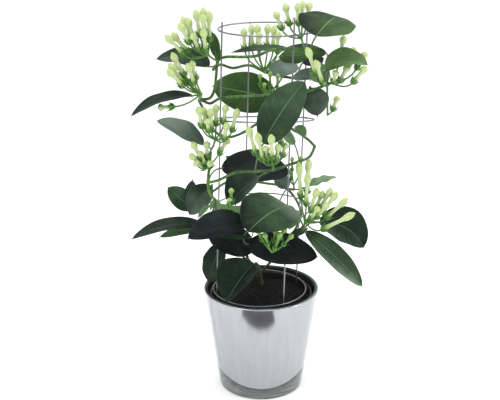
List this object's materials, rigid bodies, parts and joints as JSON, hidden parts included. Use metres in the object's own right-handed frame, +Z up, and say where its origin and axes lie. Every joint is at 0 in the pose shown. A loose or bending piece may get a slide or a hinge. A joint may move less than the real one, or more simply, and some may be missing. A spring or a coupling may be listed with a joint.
{
  "type": "potted climbing plant",
  "caption": "Climbing houseplant in bud, with leathery oval leaves and clusters of long waxy buds, trained round a wire cage in a silvered glass cover pot.",
  "frame": {"origin": "centre of the cover pot's flat foot, on the surface that it stands on", "axes": "+Z up along the pot's axis; -Y towards the side with most of the buds; +X to that side's right"},
  "size_m": [0.2757, 0.2455, 0.472],
  "materials": {
    "silvered_glass": "clear glass silvered on its inner face, foot left clear",
    "nursery_plastic": "thin moulded plastic, dark brown",
    "soil": null,
    "wire": "galvanised wire, dull grey",
    "stem": "green living stem, matt",
    "leaf_dark": "leathery leaf with a waxy half gloss",
    "leaf_deep": "leathery leaf with a waxy half gloss",
    "leaf_black": "leathery leaf with a waxy half gloss",
    "leaf_middle": "leathery leaf with a waxy half gloss",
    "leaf_grey": "leathery leaf with a waxy half gloss",
    "leaf_pale": "leathery leaf with a waxy half gloss",
    "bud": "waxy flower bud, pale yellow green to green at its foot",
    "young_bud": "waxy young bud, fresh green"
  },
  "bodies": {
    "root": {"glass_cover_pot": "silvered_glass", "nursery_pot": "nursery_plastic", "potting_soil": "soil", "cage_ring_lowest": "wire", "cage_ring_lower": "wire", "cage_ring_upper": "wire", "cage_ring_top": "wire", "cage_upright_right_front": "wire", "cage_upright_right_back": "wire", "cage_upright_left_back": "wire", "cage_upright_left_front": "wire", "vine_stems": "stem", "leaf_crown_right_broad": "leaf_dark", "leaf_crown_right_hood": "leaf_middle", "leaf_right_round": "leaf_deep", "leaf_front_long": "leaf_dark", "leaf_left_grey": "leaf_grey", "leaf_left_upper_long": "leaf_deep", "leaf_crown_left": "leaf_deep", "leaf_back_broad": "leaf_middle", "leaf_crown_back_edge": "leaf_black", "leaf_crown_front_edge": "leaf_dark", "leaf_inner_grey": "leaf_grey", "leaf_inner_green": "leaf_middle", "leaf_inner_dark": "leaf_black", "leaf_right_pale": "leaf_pale", "leaf_middle_black": "leaf_black", "leaf_front_hanging": "leaf_deep", "leaf_front_broad": "leaf_dark", "leaf_low_left_front": "leaf_black", "leaf_low_left_long": "leaf_deep", "leaf_left_folded_front": "leaf_deep", "leaf_left_folded_back": "leaf_dark", "leaf_rim_left": "leaf_deep", "leaf_soil_front": "leaf_deep", "leaf_bottom_left_dark": "leaf_black", "leaf_bottom_right_dark": "leaf_black", "leaf_right_drooping": "leaf_dark", "leaf_right_low_broad": "leaf_deep", "leaf_right_thin": "leaf_pale", "leaf_back_small": "leaf_grey", "leaf_back_upper": "leaf_dark", "leaf_back_middle": "leaf_deep", "leaf_back_low_left": "leaf_dark", "leaf_back_low_right": "leaf_deep", "buds_crown_left": "bud", "buds_left_upper": "bud", "buds_crown_centre": "bud", "buds_crown_right": "bud", "buds_right_outer": "bud", "buds_inner_green": "young_bud", "buds_left_middle": "bud", "buds_left_lower": "bud", "buds_front_middle": "bud", "buds_right_big": "bud", "buds_under_broad": "young_bud", "buds_stem_pair": "young_bud", "buds_right_single": "bud", "buds_back_tall": "young_bud"}
  },
  "joints": []
}
